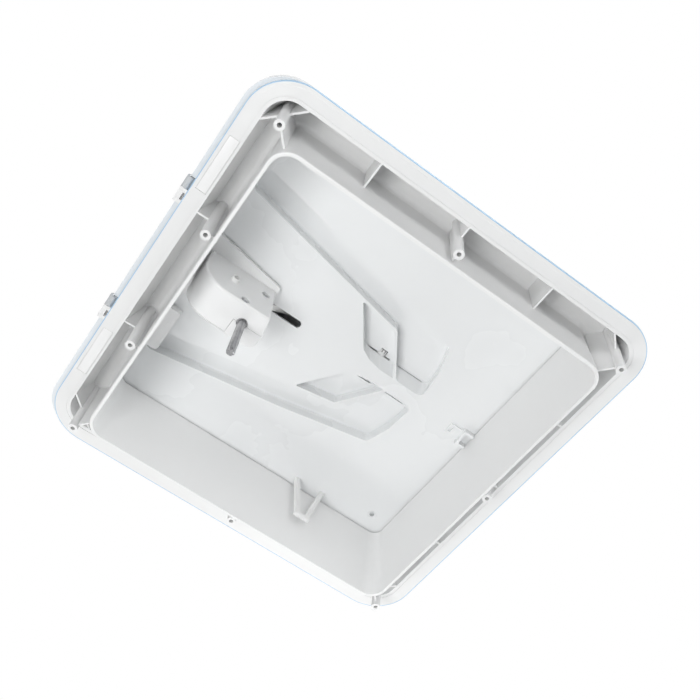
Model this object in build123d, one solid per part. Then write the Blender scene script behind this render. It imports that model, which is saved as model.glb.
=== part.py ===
from build123d import *

import math
import os

# Caravan roof vent, in millimetres. The origin is the centre of the roof cut-out at the underside of the flange.
# +Z points up through the roof, and +Y points to the hinge side.

# Collar that hangs through the cut-out and rises to the seal
rim_half_x = 184.3
rim_half_y = 184.0
rim_corner = 21.0
rim_round = 1.4
collar_drop = 37.6
collar_wall = 3.6
collar_taper = 3.7
collar_top = 60.0
mouth_half_x = rim_half_x - collar_wall - collar_taper
mouth_half_y = rim_half_y - collar_wall - collar_taper
mouth_corner = 12.0
mouth_centre_y = 2.3
mouth_front_y = mouth_half_y - mouth_centre_y
mouth_back_y = mouth_half_y + mouth_centre_y
land_width = 12.0
land_thickness = 2.6

# Screw trough, and the curb that rises round it
trough_width_x = 25.4
trough_width_y = 24.1
trough_half_x = rim_half_x + trough_width_x
trough_half_y = rim_half_y + trough_width_y
trough_corner = 23.0
trough_round = 5.0
curb_wall = 3.0
curb_lean = 9.5
curb_height = 48.0
curb_roof = 3.0

# Flange that lies on the roof
flange_reach_x = 18.9
flange_reach_y = 17.8
flange_half_x = trough_half_x + flange_reach_x
flange_half_y = trough_half_y + flange_reach_y
flange_corner = 45.0
flange_thickness = 3.2
border_width = 4.3
border_depth = 0.4
lip_width = 3.6
lip_groove = 0.6
lip_depth = 0.5

# Screw bosses and gussets in the trough
boss_radius = 5.0
boss_hole_radius = 2.25
boss_hole_depth = 24.0
boss_drop = 31.5
boss_gap_x = 9.9
boss_gap_y = 8.1
side_boss_gap = 9.1
front_boss_gap = 7.4
boss_half_x = rim_half_x + boss_gap_x
boss_half_y = rim_half_y + boss_gap_y
side_boss_x = rim_half_x + side_boss_gap
front_boss_y = rim_half_y + front_boss_gap
hinge_boss_x = 71.2
gusset_thickness = 1.8
gusset_half_pitch = 99.0

# Gear housing: where it stands before the hinge wall
housing_back_gap = 4.7
housing_back_y = mouth_back_y - housing_back_gap
housing_belly = 33.0
axle_y = housing_back_y - housing_belly
axle_z = 26.8
spindle_reach = 27.3
spindle_y = axle_y - spindle_reach
housing_front_reach = 20.2
housing_front_y = spindle_y - housing_front_reach

# Shelf on the hinge wall over the gear housing, and the small ledge beside it
shelf_z = 56.0
shelf_thickness = 4.0
shelf_reach = 19.0
shelf_front_y = spindle_y - shelf_reach
shelf_front_half = 26.0
shelf_back_half = 41.0
shelf_corner = 5.0
ledge_low_x = 60.0
ledge_high_x = 114.0
ledge_reach = 15.5
ledge_front_y = mouth_back_y - ledge_reach
ledge_height = 9.0

# Lid: outer dome
lid_gap_x = 16.3
lid_front_gap = 16.4
lid_back_gap = 22.6
lid_half_x = trough_half_x + lid_gap_x
lid_front_y = trough_half_y + lid_front_gap
lid_back_y = trough_half_y + lid_back_gap
lid_corner = 41.0
lid_wall = 3.0
lid_edge_z = 4.5
lid_foot_width = 5.6
lid_foot_height = 1.5
skirt_top = 18.0
skirt_lean = 1.4
lid_side_lean_angle = 24.0
lid_crown = 104.0
lid_crown_radius = 1500.0
lid_top_corner = 30.0
lid_brim_radius = 20.0

# Lid: inner pane with its channels and pits
pane_z = 62.0
pane_thickness = 2.2
pane_gap = 0.25
pocket_depth = 14.0
pocket_wall = 2.2
channel_round = 7.0
pit_round = 1.0
rib_width = 3.0
channel_back_gap = 2.5
channel_back_y = mouth_back_y - channel_back_gap
channel_back_inner = 98.0
channel_back_outer = 125.0
channel_knee_x = 97.5
channel_knee_y = 17.5
channel_end_x = 75.0
channel_end_y = 86.0
channel_bend_x = 45.0
channel_bend_y = 95.5
pit_knee_x = 64.0
pit_knee_y = 19.0
pit_elbow_x = 55.5
pit_elbow_y = 28.0
neck_half = 8.5
neck_front_y = 99.0
neck_pit_y = 61.5
tunnel_half = 17.4
slit_width = 1.8
pit_top_x = 18.0
pit_top_y = 14.5

# Hinges
hinge_overhang = 4.3
hinge_y = flange_half_y + hinge_overhang
hinge_z = 4.6
hinge_pin_radius = 1.25
knuckle_radius = 3.5
hinge_x = 75.5
lug_half = 8.0
lug_floor = 0.6
lid_knuckle_width = 12.0
lug_slot_length = 8.0
lug_slot_width = 2.5
lug_slot_top = 6.4
block_thickness = 3.2
block_gap = 0.3
block_front_y = trough_half_y + curb_wall + block_gap
block_back_inset = 3.7
block_back_y = flange_half_y - block_back_inset
cover_length = 60.0
cover_width = 10.5
cover_thickness = 1.8
cover_x = 120.6
cover_inset = 9.7
cover_y = flange_half_y - cover_inset
cover_clearance = 0.2
block_screw_pitch = 36.0
notch_height = 6.0
hinge_arm_rise = 30.0
hinge_arm_thickness = 3.0
lid_opening_angle = 50.0

# Worm drive and lift arm
axle_radius = 4.4
axle_stub = 4.0
axle_recess_radius = 2.9
axle_recess_depth = 3.0
spindle_radius = 4.3
journal_radius = 3.9
spindle_tip_z = 61.5
spindle_tip_chamfer = 1.4
notch_count = 6
notch_radius = 0.9
notch_length = 3.4
worm_pitch_radius = 6.2
wheel_teeth = 36
tooth_reach = 1.2
tooth_root = 1.4
wheel_half_width = 4.0
wheel_bore_land = 1.0
cheek_thickness = 3.3
cheek_gap = 0.2
beam_half = 3.6
slot_side_gap = 1.0
slot_front_gap = 0.5
slot_back_gap = 1.0
pin_y = -37.0
pin_z = 80.0
cross_pin_radius = 2.0
arm_end_radius = 5.2
arm_drive_radius = 2.0
arm_drive_offset = 13.5

# Gear housing: shape
housing_half = 20.5
housing_floor_z = 2.6
housing_front_lean = 3.7
housing_nose = 4.2
housing_nose_round = 9.0
housing_round = 2.5
housing_wall = 1.9
seam_front_x = 1.0
seam_back_x = 18.4
seam_step = 9.0
seam_step_y = spindle_y + seam_step
seam_gap = 0.4
spigot_radius = 4.6
bush_radius = 5.5
bush_recess = 1.2
spindle_hole_radius = 5.9
spindle_hole_depth = 4.0
side_screw_radius = 1.8
side_head_radius = 4.3
side_head_height = 2.2
side_head_sink = 2.0
side_screw_back_step = 10.0
side_screw_z1 = 4.1
side_screw_front_step = 7.4
side_screw_z2 = 37.7

# Slotted rail for the cross pin, and the plug that closes its slot on the -X side
rail_wall = 2.6
rail_front_y = 48.0
rail_back_y = 36.0
rail_top = 97.0
rail_roof = 2.0
rail_slot_rise = 0.6
rail_slot_clearance = 1.0
rail_foot_length = 28.0
rail_foot_width = 13.0
rail_foot_thickness = 2.2
rail_boss_radius = 4.0
rail_boss_height = 6.0
plug_radius = 5.0
plug_head = 4.0
plug_mark_width = 0.9
plug_mark_length = 3.2
clip_radius = 3.6
clip_width = 1.2

# Lid catch, pull loop and fasteners
catch_x = 3.0
catch_half = 10.0
catch_inset = 9.9
catch_y = mouth_front_y - catch_inset
catch_reach = 9.0
catch_drop = 7.0
catch_ear = 3.2
catch_slot_length = 7.0
catch_slot_width = 3.6
loop_inset = 9.0
loop_x = mouth_half_x - loop_inset
loop_depth = 5.0
loop_width = 6.5
loop_back_y = 54.0
loop_front_y = 88.0
loop_low_back_y = 62.0
loop_low_front_y = 75.0
loop_drop = 55.5
pane_screw_inset = 21.1
pane_screw_x = mouth_half_x - pane_screw_inset
pane_screw_front = 22.2
pane_screw_y = mouth_front_y - pane_screw_front
dish_radius = 6.0
dish_depth = 1.2
seal_width = 6.0
seal_height = 2.7
seal_seat = 1.0
small_screw_radius = 1.5
small_head_radius = 3.0
small_head_height = 1.4
recess_width = 0.9
recess_depth = 0.8

# Clearances shared by the fits
running_clearance = 0.05
seat_clearance = 0.2
overrun = 4.0

# Shares that follow other sizes: knees of the arm on its way from the axle to the cross pin, along and up
arm_knee_shares = [
    ("elbow over the wheel", 0.11385, 0.54887),
    ("where the arm leaves the housing", 0.24285, 0.64286),
    ("ramp through the pane", 0.36624, 0.94361),
    ("start of the back", 0.48962, 1.15038),
    ("end of the back", 0.73640, 1.17857),
]
arm_half_depth_shares = [0.0484, 0.0269, 0.0236, 0.0215, 0.0193, 0.0193, 0.0215]
pit_mouth_shares = [(0.37, 0.26), (0.05, 0.56)]
ledge_corner_share = 0.5


# General shapes

def slab(half_x, half_y, corner, low_z, high_z, centre_y=0.0):
    outline = RectangleRounded(2 * half_x, 2 * half_y, corner)
    return Pos(0, centre_y, low_z) * extrude(outline, high_z - low_z)


def ring(half_x, half_y, corner, width, low_z, high_z, centre_y=0.0):
    outer = slab(half_x, half_y, corner, low_z, high_z, centre_y)
    return outer - slab(half_x - width, half_y - width, corner - width, low_z, high_z, centre_y)


def drafted(low, high):
    """A block between two rounded rectangles, each given as half x, half y, corner, z and centre y."""
    faces = [Pos(0, cy, z) * RectangleRounded(2 * hx, 2 * hy, r) for hx, hy, r, z, cy in (low, high)]
    return loft(faces, ruled=True)


def block(x0, x1, y0, y1, z0, z1):
    return Pos((x0 + x1) / 2, (y0 + y1) / 2, (z0 + z1) / 2) * Box(abs(x1 - x0), abs(y1 - y0), abs(z1 - z0))


def side_prism(points, x0, x1):
    """Outline in Y and Z, carried from x0 to x1."""
    return extrude(Plane.YZ.offset(x0) * make_face(Polyline(*points, close=True)), x1 - x0)


def plan_outline(points, radius):
    face = make_face(Polyline(*points, close=True))
    return fillet(face.vertices(), radius) if radius else face


def x_rod(radius, y, z, x0, x1):
    return extrude(Plane.YZ.offset(x0) * Pos(y, z) * Circle(radius), x1 - x0)


def z_rod(radius, x, y, z0, z1):
    return Pos(x, y, z0) * extrude(Circle(radius), z1 - z0)


def cross_recess(size):
    bar = Box(2 * size, recess_width, recess_depth, align=(Align.CENTER, Align.CENTER, Align.MIN))
    return bar + Rot(0, 0, 90) * bar


def countersunk_screw(length):
    """Cross-head screw with its flat head at z 0 and its shank towards +Z."""
    head = Cone(small_head_radius, small_screw_radius, small_head_height,
                align=(Align.CENTER, Align.CENTER, Align.MIN))
    shank = z_rod(small_screw_radius, 0, 0, 0, length)
    return head + shank - cross_recess(small_head_radius - 2 * recess_width)


def sunk_hole(depth):
    """Room for a countersunk screw that enters at z 0 and points to +Z."""
    head = Cone(small_head_radius, small_screw_radius, small_head_height,
                align=(Align.CENTER, Align.CENTER, Align.MIN))
    return head + z_rod(small_screw_radius, 0, 0, -overrun, depth + overrun) \
        + z_rod(small_head_radius, 0, 0, -overrun, 0)


def mirrored(piece):
    return mirror(piece, about=Plane.YZ)


def group(solids):
    return Compound(children=list(solids))


def collar_half(z, low, high):
    """Inner half width of the collar at a height, between the rim and the mouth."""
    share = (z + collar_drop) / (collar_top + collar_drop)
    return low + (high - low) * share


def hinge_wall_y(z):
    return collar_half(z, rim_half_y - collar_wall, mouth_half_y + mouth_centre_y)


# Frame

def boss_places():
    places = [(sx * boss_half_x, sy * boss_half_y) for sx in (-1, 1) for sy in (-1, 1)]
    places += [(-side_boss_x, 0), (side_boss_x, 0), (0, -front_boss_y)]
    return places + [(-hinge_boss_x, front_boss_y), (hinge_boss_x, front_boss_y)]


def rib(x0, y0, x1, y1, low_z, high_z):
    """Thin upright plate between two places in plan."""
    length = math.hypot(x1 - x0, y1 - y0)
    angle = math.degrees(math.atan2(y1 - y0, x1 - x0))
    plate = Box(length, gusset_thickness, high_z - low_z)
    return Pos((x0 + x1) / 2, (y0 + y1) / 2, (low_z + high_z) / 2) * Rot(0, 0, angle) * plate


def trough_ribs():
    top = curb_height - curb_roof / 2
    low = boss_radius - boss_drop
    wall_x = rim_half_x - collar_wall / 2
    wall_y = rim_half_y - collar_wall / 2
    ribs = []
    for sx in (-1, 1):
        for side in (-1, 1):
            place = side * gusset_half_pitch
            ribs.append(rib(sx * trough_half_x, place, sx * wall_x, place, 0, top))
        ribs.append(rib(sx * trough_half_x, 0, sx * side_boss_x, 0, 0, top))
        ribs.append(rib(sx * side_boss_x, 0, sx * wall_x, 0, low, top))
        ribs.append(rib(sx * gusset_half_pitch, -trough_half_y, sx * gusset_half_pitch, -wall_y, 0, top))
        ribs.append(rib(sx * hinge_boss_x, trough_half_y, sx * hinge_boss_x, front_boss_y, 0, top))
        ribs.append(rib(sx * hinge_boss_x, front_boss_y, sx * hinge_boss_x, wall_y, low, top))
        for sy in (-1, 1):
            reach = trough_half_x - boss_half_x
            corner_x, corner_y = sx * boss_half_x, sy * boss_half_y
            ribs.append(rib(corner_x, corner_y, sx * trough_half_x, sy * (boss_half_y - reach), 0, top))
            ribs.append(rib(corner_x, corner_y, sx * (boss_half_x - reach), sy * trough_half_y, 0, top))
            inner_x = sx * (rim_half_x - rim_corner / 3)
            inner_y = sy * (rim_half_y - rim_corner / 3)
            ribs.append(rib(corner_x, corner_y, inner_x, inner_y, low, top))
    ribs.append(rib(0, -trough_half_y, 0, -front_boss_y, 0, top))
    ribs.append(rib(0, -front_boss_y, 0, -wall_y, low, top))
    return ribs


def shelf():
    wall_y = hinge_wall_y(shelf_z) + collar_wall / 2
    outline = plan_outline([(-shelf_front_half, shelf_front_y), (shelf_front_half, shelf_front_y),
                            (shelf_back_half, wall_y), (-shelf_back_half, wall_y)], 0)
    front = outline.vertices().sort_by(Axis.Y)[:2]
    plate = Pos(0, 0, shelf_z) * extrude(fillet(front, shelf_corner), shelf_thickness)
    cheeks_out = wheel_half_width + wheel_bore_land + cheek_thickness + 3 * cheek_gap
    return plate - block(-cheeks_out, cheeks_out, shelf_front_y - overrun, housing_back_y - housing_wall,
                         shelf_z - overrun, shelf_z + 2 * shelf_thickness)


def frame_collar(grow, low_z):
    """Solid block of the collar, grown outwards from its inner faces."""
    out = grow - collar_wall
    return drafted(
        (rim_half_x + out, rim_half_y + out, rim_corner + out, low_z, 0),
        (mouth_half_x + grow, mouth_half_y + grow, mouth_corner + grow, collar_top, mouth_centre_y))


def frame_shell():
    """Flange, curb and collar, with the trough between them and a rounded corner under the trough's roof."""
    top_out = curb_wall - curb_lean
    curb_outer = drafted(
        (trough_half_x + curb_wall, trough_half_y + curb_wall, trough_corner + curb_wall, 0, 0),
        (trough_half_x + top_out, trough_half_y + top_out, trough_corner, curb_height, 0))
    roof_z = curb_height - curb_roof
    lean = curb_lean * roof_z / curb_height
    trough = drafted(
        (trough_half_x, trough_half_y, trough_corner, 0, 0),
        (trough_half_x - lean, trough_half_y - lean, trough_corner - curb_wall, roof_z, 0))
    collar = frame_collar(collar_wall, -collar_drop)
    collar = fillet(collar.edges().group_by(Axis.Z)[0], rim_round)
    land = slab(mouth_half_x + land_width, mouth_half_y + land_width, mouth_corner + land_width,
                collar_top - land_thickness, collar_top, mouth_centre_y)
    frame = slab(flange_half_x, flange_half_y, flange_corner, 0, flange_thickness) + curb_outer - trough
    frame += collar + land
    inner = [edge for edge in frame.edges() if abs(edge.center().Z - roof_z) < seat_clearance
             and abs(edge.center().X) < rim_half_x and abs(edge.center().Y) < rim_half_y]
    return fillet(inner, trough_round), curb_outer


def base_frame():
    frame, curb_outer = frame_shell()
    room = curb_outer + slab(trough_half_x, trough_half_y, trough_corner, -boss_drop, 0)
    for x, y in boss_places():
        frame += z_rod(boss_radius, x, y, -boss_drop, curb_height - curb_roof) & room
    for plate in trough_ribs():
        frame += plate & room
    frame -= frame_collar(0, -collar_drop)
    frame += shelf() + ledge()
    for x, y in boss_places():
        frame -= z_rod(boss_hole_radius, x, y, -boss_drop, boss_hole_depth - boss_drop)
    border = ring(flange_half_x + overrun, flange_half_y + overrun, flange_corner + overrun,
                  border_width + overrun, -border_depth, border_depth)
    lip_out = lip_width + lip_groove
    lip = ring(trough_half_x + lip_out, trough_half_y + lip_out, trough_corner + lip_out,
               lip_groove, -lip_depth, lip_depth)
    frame -= border + lip
    frame -= seal_ring(collar_top - seal_seat, collar_top + overrun)
    for side in (-1, 1):
        frame -= cover(side, cover_clearance)
        for screw_x in block_screw_places(side):
            frame -= Pos(screw_x, cover_y, flange_thickness - small_head_height) * sunk_hole(flange_thickness)
    for x, y in shelf_screw_places():
        frame -= Pos(x, y, collar_top) * Rot(180, 0, 0) * sunk_hole(shelf_thickness)
    return frame


def ledge():
    wall_y = hinge_wall_y(shelf_z) + collar_wall / 2
    shape = block(ledge_low_x, ledge_high_x, ledge_front_y, wall_y, collar_top - ledge_height, collar_top)
    corner = shape.edges().filter_by(Axis.Z).sort_by(Axis.Y)[:2]
    return fillet(corner, ledge_height * ledge_corner_share)


def seal_ring(low_z, high_z):
    middle = land_width / 2
    grow = middle + seal_width / 2
    return ring(mouth_half_x + grow, mouth_half_y + grow, mouth_corner + grow, seal_width, low_z, high_z,
                mouth_centre_y)


def lid_seal():
    low = collar_top - seal_seat
    return seal_ring(low, low + seal_height)


# Hinges

def cover(side, clearance=0.0):
    half_x = cover_length / 2 + clearance
    half_y = cover_width / 2 + clearance
    return block(side * cover_x - half_x, side * cover_x + half_x, cover_y - half_y, cover_y + half_y,
                 0, cover_thickness + clearance)


def block_screw_places(side):
    return [side * cover_x - block_screw_pitch / 2, side * cover_x + block_screw_pitch / 2]


def hinge_block(side):
    """Foot on top of the flange, held from below, and a lug that hooks past the flange's edge."""
    lug_x = side * hinge_x
    foot_low = min(side * cover_x - cover_length / 2, lug_x - lug_half)
    foot_high = max(side * cover_x + cover_length / 2, lug_x + lug_half)
    top = flange_thickness + block_thickness
    foot = block(foot_low, foot_high, block_front_y, block_back_y, flange_thickness, top)
    lug_front = flange_half_y + running_clearance
    lug_back = hinge_y + knuckle_radius
    lug = side_prism([(lug_front, flange_thickness), (lug_front, lug_floor), (lug_back, lug_floor),
                      (lug_back, hinge_z), (hinge_y, hinge_z + knuckle_radius), (block_back_y, top),
                      (block_back_y, flange_thickness)], lug_x - lug_half, lug_x + lug_half)
    lug += x_rod(knuckle_radius, hinge_y, hinge_z, lug_x - lug_half, lug_x + lug_half)
    piece = foot + lug
    piece -= x_rod(hinge_pin_radius, hinge_y, hinge_z, lug_x - lug_half, lug_x + lug_half)
    slot_y = lug_front + seat_clearance
    piece -= block(lug_x - lug_slot_length / 2, lug_x + lug_slot_length / 2, slot_y, slot_y + lug_slot_width,
                   lug_floor, lug_slot_top)
    for screw_x in block_screw_places(side):
        piece -= z_rod(small_screw_radius, screw_x, cover_y, flange_thickness, top)
    return piece


def hinge_block_screws():
    screws = []
    for side in (-1, 1):
        for screw_x in block_screw_places(side):
            length = small_head_height + block_thickness - seat_clearance
            screws.append(Pos(screw_x, cover_y, flange_thickness - small_head_height) * countersunk_screw(length))
    return group(screws)


def hinge_pin(side):
    low = side * hinge_x - lug_half - cheek_gap - lid_knuckle_width
    return x_rod(hinge_pin_radius, hinge_y, hinge_z, low, side * hinge_x + lug_half)


def lid_hinge_arm(side):
    """Knuckle beside the lug, with a strap that follows the inside of the lid's skirt."""
    high_x = side * hinge_x - lug_half - cheek_gap
    low_x = high_x - lid_knuckle_width
    top_z = skirt_top + hinge_arm_rise
    skin_low = lid_back_y - skirt_lean - lid_wall - seat_clearance
    skin_high = skin_low - hinge_arm_rise * math.tan(math.radians(lid_side_lean_angle))
    strap = side_prism([(skin_low - hinge_arm_thickness, hinge_z + hinge_pin_radius),
                        (hinge_y, hinge_z - knuckle_radius),
                        (hinge_y, hinge_z + knuckle_radius), (skin_low, notch_height + lid_edge_z),
                        (skin_low, skirt_top), (skin_high, top_z), (skin_high - hinge_arm_thickness, top_z),
                        (skin_low - hinge_arm_thickness, skirt_top)], low_x, high_x)
    strap += x_rod(knuckle_radius, hinge_y, hinge_z, low_x, high_x)
    return strap - x_rod(hinge_pin_radius + running_clearance, hinge_y, hinge_z, low_x, high_x)


# Lid

def lid_centre_y():
    return (lid_back_y - lid_front_y) / 2


def lid_half_y():
    return (lid_back_y + lid_front_y) / 2


def lid_lean(z):
    """How far the outside of the lid has leaned in at a height above the skirt."""
    return skirt_lean + (z - skirt_top) * math.tan(math.radians(lid_side_lean_angle))


def lid_volume(inset):
    centre = lid_centre_y()
    half_y = lid_half_y()
    top_z = lid_crown
    low = (lid_half_x - inset, half_y - inset, lid_corner - inset, lid_edge_z, centre)
    knee = (lid_half_x - skirt_lean - inset, half_y - skirt_lean - inset, lid_corner - skirt_lean - inset,
            skirt_top, centre)
    lean = lid_lean(top_z) + inset
    top = (lid_half_x - lean, half_y - lean, lid_top_corner - inset, top_z, centre)
    body = drafted(low, knee) + drafted(knee, top)
    ball = Pos(0, centre, lid_crown - inset - lid_crown_radius) * Sphere(lid_crown_radius)
    body &= ball
    brim = body.faces().sort_by(Axis.Z)[-1].edges()
    return fillet(brim, lid_brim_radius - inset)


def lid_outer():
    shell = lid_volume(0) - lid_volume(lid_wall)
    shell += ring(lid_half_x, lid_half_y(), lid_corner, lid_foot_width, lid_edge_z, lid_edge_z + lid_foot_height,
                  lid_centre_y()) & lid_volume(0)
    notch_back = lid_back_y + overrun
    for side in (-1, 1):
        lug_x = side * hinge_x
        low_x = lug_x - lug_half - 3 * cheek_gap - lid_knuckle_width
        shell -= block(low_x, lug_x + lug_half + 3 * cheek_gap, lid_back_y - lid_foot_width - overrun,
                       notch_back, lid_edge_z - overrun, lid_edge_z + notch_height)
    for side in (-1, 1):
        column = z_rod(rail_boss_radius, side * pane_screw_x, -pane_screw_y, pane_z + pane_thickness, lid_crown)
        column &= lid_volume(lid_wall / 2)
        column -= z_rod(small_screw_radius, side * pane_screw_x, -pane_screw_y, pane_z, pane_z + pocket_depth)
        shell += column
    return shell


def pit_outlines():
    """Mouth and floor of one pit, on the +X side: the floor stands back from the tunnel."""
    along_x = pit_top_x - neck_half
    along_y = neck_pit_y - pit_top_y
    bends = [(neck_half + sx * along_x, -pit_top_y - sy * along_y) for sx, sy in pit_mouth_shares]
    mouth = [(pit_knee_x, pit_knee_y), (pit_top_x, -pit_top_y)] + bends
    mouth += [(neck_half, -neck_pit_y), (pit_elbow_x, -pit_elbow_y)]
    share = (tunnel_half - neck_half) / (pit_elbow_x - neck_half)
    end_y = -neck_pit_y + share * (neck_pit_y - pit_elbow_y)
    floor = [(pit_knee_x, pit_knee_y), (pit_top_x + 2 * pit_round, -pit_top_y)]
    floor += [(tunnel_half + pit_round / 2, y) for x, y in bends]
    floor += [(tunnel_half, end_y), (pit_elbow_x, -pit_elbow_y)]
    return mouth, floor


def channel_outlines():
    """Mouth and floor of one channel, on the +X side."""
    inner_knee = (pit_knee_x + rib_width, channel_knee_y)
    inner_elbow = (pit_elbow_x + rib_width, -pit_elbow_y - rib_width / 2)
    slope = (neck_pit_y - pit_elbow_y) / (pit_elbow_x - neck_half)
    mouth_neck_y = -pit_elbow_y - rib_width - slope * (pit_elbow_x - neck_half)
    floor_neck_y = -pit_elbow_y - rib_width - slope * (pit_elbow_x - tunnel_half)
    outer = [(channel_back_inner, channel_back_y), (channel_back_outer, channel_back_y),
             (channel_knee_x, channel_knee_y), (channel_end_x, -channel_end_y), (channel_bend_x, -channel_bend_y)]
    mouth = outer + [(neck_half, -neck_front_y), (neck_half, mouth_neck_y), inner_elbow, inner_knee]
    floor = outer + [(tunnel_half, -neck_front_y), (tunnel_half, floor_neck_y), inner_elbow, inner_knee]
    return mouth, floor


def pocket(outlines, corner):
    mouth, floor = [plan_outline(points, corner) for points in outlines]
    hollow = loft([Pos(0, 0, pane_z) * mouth, Pos(0, 0, pane_z + pocket_depth) * floor], ruled=True)
    shell_outline = offset(mouth, pocket_wall, kind=Kind.INTERSECTION)
    shell = Pos(0, 0, pane_z + pane_thickness / 2) * extrude(shell_outline, pocket_depth + pane_thickness / 2)
    return hollow, shell


def slot_ends():
    """Front and back end of the slot in the pane, about the arm's knees that lie in it."""
    points = arm_points()
    return points[4][0] + slot_front_gap, points[1][0] + slot_back_gap


def lid_inner_pane():
    pane = block(-lid_half_x, lid_half_x, -lid_back_y, lid_back_y, pane_z, pane_z + pane_thickness)
    pane &= lid_volume(lid_wall + pane_gap)
    pockets = [pocket(channel_outlines(), channel_round), pocket(pit_outlines(), pit_round)]
    for hollow, shell in pockets:
        pane += shell + mirrored(shell)
    for hollow, shell in pockets:
        pane -= hollow
        pane -= mirrored(hollow)
    floor_z = pane_z + pocket_depth
    tunnel_z = floor_z - rail_slot_rise - seat_clearance
    slit_out = tunnel_half + slit_width
    pane -= block(-slit_out, slit_out, -rail_front_y - seat_clearance, rail_back_y, tunnel_z, lid_crown)
    notch = x_rod(plug_radius + slit_width / 2, pin_y, pin_z, -tunnel_half - 2 * plug_head, -tunnel_half)
    pane -= notch & block(-lid_half_x, 0, -rail_front_y, 0, pin_z - plug_radius - seat_clearance, lid_crown)
    for side in (-1, 1):
        pane -= block(side * tunnel_half, side * (tunnel_half + slit_width / 2), rib_width - channel_bend_y,
                      rib_width - neck_pit_y, floor_z - seat_clearance, floor_z + pocket_wall)
    slot_front, slot_back = slot_ends()
    slot_half = beam_half + slot_side_gap
    slot = plan_outline([(-slot_half, slot_front), (slot_half, slot_front),
                         (slot_half, slot_back), (-slot_half, slot_back)], 0)
    slot = fillet(slot.vertices(), slot_half - seat_clearance)
    pane -= Pos(0, 0, pane_z - overrun) * extrude(slot, pocket_depth)
    pane_top = pane_z + pane_thickness
    for x, y in rail_screw_places():
        pane += z_rod(rail_boss_radius, x, y, pane_z + pane_thickness / 2, pane_top + rail_boss_height)
        pane -= z_rod(small_screw_radius, x, y, pane_top, pane_top + rail_boss_height)
    for side in (-1, 1):
        x, y = side * pane_screw_x, -pane_screw_y
        dish = Pos(x, y, pane_z) * Cone(dish_radius, small_head_radius, dish_depth,
                                        align=(Align.CENTER, Align.CENTER, Align.MIN))
        pane -= dish
        pane -= z_rod(small_screw_radius + running_clearance, x, y, pane_z, pane_top)
    return pane


def pane_screws():
    screws = []
    for side in (-1, 1):
        head = z_rod(small_head_radius - seat_clearance, 0, 0, -small_head_height / 2, 0)
        shank = z_rod(small_screw_radius, 0, 0, 0, pocket_depth - 2 * pane_thickness)
        recess = Pos(0, 0, -small_head_height / 2) * cross_recess(small_head_radius - 2 * recess_width)
        screw = head + shank - recess
        screws.append(Pos(side * pane_screw_x, -pane_screw_y, pane_z + dish_depth) * screw)
    return group(screws)


def lid_catch():
    """Plate under the pane with two ears and a bar between them, and a slot behind."""
    low_x, high_x = catch_x - catch_half, catch_x + catch_half
    base_back = -catch_y + catch_reach + 3 * catch_slot_width
    base = block(low_x + catch_ear, high_x - catch_ear, -catch_y, base_back, pane_z - pane_thickness, pane_z)
    ears = block(low_x, low_x + catch_ear, -catch_y - catch_reach, -catch_y + catch_ear,
                 pane_z - catch_drop, pane_z)
    ears += block(high_x - catch_ear, high_x, -catch_y - catch_reach, -catch_y + catch_ear,
                  pane_z - catch_drop, pane_z)
    bar = block(low_x, high_x, -catch_y, -catch_y + catch_ear, pane_z - catch_drop, pane_z)
    slot_y = base_back - catch_slot_width
    slot = block(catch_x - catch_slot_length / 2, catch_x + catch_slot_length / 2,
                 slot_y - catch_slot_width / 2, slot_y + catch_slot_width / 2, pane_z - catch_drop, pane_z)
    return base + ears + bar - slot


def pull_loop():
    """Flat V-shaped strap that hangs from the edge of the pane."""
    def outline(inset):
        low_z = pane_z - loop_drop + inset
        return [(-loop_back_y - inset, pane_z), (-loop_low_back_y - inset, low_z),
                (-loop_low_front_y + inset, low_z), (-loop_front_y + inset, pane_z)]
    low_x, high_x = loop_x - loop_depth / 2, loop_x + loop_depth / 2
    outer = side_prism(outline(-loop_width / 2), low_x, high_x)
    inner = side_prism(outline(loop_width / 2), low_x, high_x)
    return outer - inner


# Worm drive

def wheel_pitch_radius():
    return axle_y - spindle_y - worm_pitch_radius


def tooth_pitch():
    return 2 * math.pi * wheel_pitch_radius() / wheel_teeth


def worm_wheel():
    root = wheel_pitch_radius() - tooth_root
    tip = wheel_pitch_radius() + tooth_reach
    disc = x_rod(root, 0, 0, -wheel_half_width, wheel_half_width)
    disc += x_rod(root / 2, 0, 0, -wheel_half_width - wheel_bore_land, wheel_half_width + wheel_bore_land)
    half_root, half_tip = tooth_pitch() / 4, tooth_pitch() / 9
    tooth = side_prism([(root - tooth_root, -half_root), (tip, -half_tip), (tip, half_tip),
                        (root - tooth_root, half_root)], -wheel_half_width, wheel_half_width)
    for number in range(wheel_teeth):
        disc += Rot(360 / wheel_teeth * number, 0, 0) * tooth
    wheel = Pos(0, axle_y, axle_z) * disc
    wheel -= x_rod(axle_radius, axle_y, axle_z, -housing_half, housing_half)
    y, z = drive_pin_place()
    return wheel - x_rod(arm_drive_radius, y, z, -housing_half, housing_half)


def wheel_axle():
    """Pin of the wheel, with a hollow end that stands out of the housing."""
    end_x = -housing_half - axle_stub
    axle = x_rod(axle_radius, axle_y, axle_z, end_x, housing_half - housing_wall - seat_clearance)
    axle = chamfer(axle.edges().sort_by(Axis.X)[0], seat_clearance)
    return axle - x_rod(axle_recess_radius, axle_y, axle_z, end_x, end_x + axle_recess_depth)


def arm_points():
    """Centre line of the arm from the axle to the cross pin, in Y and Z."""
    dy, dz = pin_y - axle_y, pin_z - axle_z
    points = [(axle_y, axle_z)]
    for name, along, up in arm_knee_shares:
        points.append((axle_y + along * dy, axle_z + up * dz))
    return points + [(pin_y, pin_z)]


def arm_length():
    return math.hypot(pin_y - axle_y, pin_z - axle_z)


def arm_radii():
    return [share * arm_length() for share in arm_half_depth_shares]


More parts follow.
